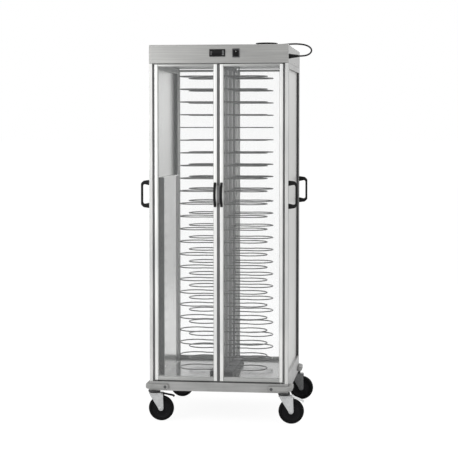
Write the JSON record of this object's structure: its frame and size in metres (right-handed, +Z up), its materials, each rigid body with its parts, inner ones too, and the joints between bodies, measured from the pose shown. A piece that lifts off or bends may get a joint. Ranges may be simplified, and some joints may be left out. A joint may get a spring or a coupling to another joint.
{
  "type": "heated plate cart",
  "caption": "Tall mobile heated cabinet with glazed double doors, a rack of plate supports, corner bumpers, side handles, swivel casters and a mains lead coiled on top",
  "frame": {"origin": "on the floor, under the middle of the cart's outline without its lead", "axes": "+Z up, -Y the front with the controls, +X the right side seen from the front"},
  "size_m": [0.8374, 0.744, 1.8706],
  "materials": {
    "anodised_aluminium": "satin natural anodised",
    "stainless_steel": "brushed",
    "dark_steel": "satin dark grey",
    "zinc_plated_steel": "bright zinc",
    "clear_pane": "clear",
    "black_plastic": "fine grained",
    "key_plastic": "satin",
    "switch_plastic": "satin",
    "rocker_plastic": "glossy",
    "grey_rubber": "matt",
    "seal_rubber": "matt",
    "latch_plastic": "satin",
    "wheel_rubber": "matt",
    "cord_rubber": "matt",
    "pin_brass": "nickel plated"
  },
  "bodies": {
    "cart": {"corner_posts": "anodised_aluminium", "side_rails": "anodised_aluminium", "base_frame": "stainless_steel", "side_panels": "stainless_steel", "top_cover": "stainless_steel", "ceiling_panel": "stainless_steel", "floor_pan": "stainless_steel", "rack_uprights": "stainless_steel", "plate_rings_left": "stainless_steel", "plate_rings_right": "stainless_steel", "heater_covers": "stainless_steel", "hinge_pins": "stainless_steel", "temperature_probe": "stainless_steel", "heater_elements": "stainless_steel", "rack_channels": "dark_steel", "caster_heads": "zinc_plated_steel", "side_handles": "black_plastic", "thermostat": "black_plastic", "switch_frame": "switch_plastic", "cable_gland": "switch_plastic", "corner_bumpers": "grey_rubber", "door_seals": "seal_rubber", "panel_gaskets": "seal_rubber", "power_cord": "cord_rubber", "cord_coil": "cord_rubber", "cord_tail": "cord_rubber", "strain_relief": "cord_rubber", "plug": "cord_rubber", "coil_tie": "cord_rubber", "plug_pins": "pin_brass"},
    "door_front_left": {"door_frame_front_left": "anodised_aluminium", "door_pane_front_left": "clear_pane", "door_handle_front_left": "black_plastic", "meeting_seal_front": "seal_rubber", "door_latch_front": "latch_plastic"},
    "door_front_right": {"door_frame_front_right": "anodised_aluminium", "door_pane_front_right": "clear_pane", "door_handle_front_right": "black_plastic"},
    "door_rear_left": {"door_frame_rear_left": "anodised_aluminium", "door_pane_rear_left": "clear_pane", "door_handle_rear_left": "black_plastic", "meeting_seal_rear": "seal_rubber", "door_latch_rear": "latch_plastic"},
    "door_rear_right": {"door_frame_rear_right": "anodised_aluminium", "door_pane_rear_right": "clear_pane", "door_handle_rear_right": "black_plastic"},
    "caster_front_left": {"fork_front_left": "zinc_plated_steel"},
    "roller_front_left": {"wheel_front_left": "wheel_rubber"},
    "pedal_left": {"brake_pedal_left": "black_plastic"},
    "caster_front_right": {"fork_front_right": "zinc_plated_steel"},
    "roller_front_right": {"wheel_front_right": "wheel_rubber"},
    "pedal_right": {"brake_pedal_right": "zinc_plated_steel"},
    "caster_rear_left": {"fork_rear_left": "zinc_plated_steel"},
    "roller_rear_left": {"wheel_rear_left": "wheel_rubber"},
    "caster_rear_right": {"fork_rear_right": "zinc_plated_steel"},
    "roller_rear_right": {"wheel_rear_right": "wheel_rubber"},
    "rocker": {"switch_rocker": "rocker_plastic"},
    "key_down_button": {"key_down": "key_plastic"},
    "key_set_button": {"key_set": "key_plastic"},
    "key_up_button": {"key_up": "key_plastic"}
  },
  "joints": [
    {"name": "hinge_front_left", "type": "hinge", "parent": "cart", "child": "door_front_left", "pos_m": [-0.324, -0.331, 0.2], "axis": [0, 0, -1], "range_deg": [0, 115]},
    {"name": "hinge_front_right", "type": "hinge", "parent": "cart", "child": "door_front_right", "pos_m": [0.29, -0.331, 0.2], "axis": [0, 0, 1], "range_deg": [0, 115]},
    {"name": "hinge_rear_left", "type": "hinge", "parent": "cart", "child": "door_rear_left", "pos_m": [-0.324, 0.331, 0.2], "axis": [0, 0, 1], "range_deg": [0, 115]},
    {"name": "hinge_rear_right", "type": "hinge", "parent": "cart", "child": "door_rear_right", "pos_m": [0.29, 0.331, 0.2], "axis": [0, 0, -1], "range_deg": [0, 115]},
    {"name": "swivel_front_left", "type": "hinge", "parent": "cart", "child": "caster_front_left", "pos_m": [-0.339, -0.322, 0.134], "axis": [0, 0, 1], "continuous": true},
    {"name": "roll_front_left", "type": "hinge", "parent": "caster_front_left", "child": "roller_front_left", "pos_m": [-0.304, -0.322, 0.0625], "axis": [0, 1, 0], "continuous": true},
    {"name": "brake_left", "type": "hinge", "parent": "caster_front_left", "child": "pedal_left", "pos_m": [-0.299, -0.322, 0.1345], "axis": [0, 1, 0], "range_deg": [0, 12]},
    {"name": "swivel_front_right", "type": "hinge", "parent": "cart", "child": "caster_front_right", "pos_m": [0.305, -0.322, 0.134], "axis": [0, 0, 1], "continuous": true},
    {"name": "roll_front_right", "type": "hinge", "parent": "caster_front_right", "child": "roller_front_right", "pos_m": [0.34, -0.322, 0.0625], "axis": [0, 1, 0], "continuous": true},
    {"name": "brake_right", "type": "hinge", "parent": "caster_front_right", "child": "pedal_right", "pos_m": [0.345, -0.322, 0.1345], "axis": [0, 1, 0], "range_deg": [-12, 0]},
    {"name": "swivel_rear_left", "type": "hinge", "parent": "cart", "child": "caster_rear_left", "pos_m": [-0.339, 0.322, 0.134], "axis": [0, 0, 1], "continuous": true},
    {"name": "roll_rear_left", "type": "hinge", "parent": "caster_rear_left", "child": "roller_rear_left", "pos_m": [-0.304, 0.322, 0.0625], "axis": [0, 1, 0], "continuous": true},
    {"name": "swivel_rear_right", "type": "hinge", "parent": "cart", "child": "caster_rear_right", "pos_m": [0.305, 0.322, 0.134], "axis": [0, 0, 1], "continuous": true},
    {"name": "roll_rear_right", "type": "hinge", "parent": "caster_rear_right", "child": "roller_rear_right", "pos_m": [0.34, 0.322, 0.0625], "axis": [0, 1, 0], "continuous": true},
    {"name": "rocker_tilt", "type": "hinge", "parent": "cart", "child": "rocker", "pos_m": [0.0695, -0.338, 1.8085], "axis": [1, 0, 0], "range_deg": [-16, 0]},
    {"name": "key_down_press", "type": "slide", "parent": "cart", "child": "key_down_button", "axis": [0, 1, 0], "range_m": [0, 0.0012], "stiffness_N_per_m": 400},
    {"name": "key_set_press", "type": "slide", "parent": "cart", "child": "key_set_button", "axis": [0, 1, 0], "range_m": [0, 0.0012], "stiffness_N_per_m": 400},
    {"name": "key_up_press", "type": "slide", "parent": "cart", "child": "key_up_button", "axis": [0, 1, 0], "range_m": [0, 0.0012], "stiffness_N_per_m": 400}
  ]
}
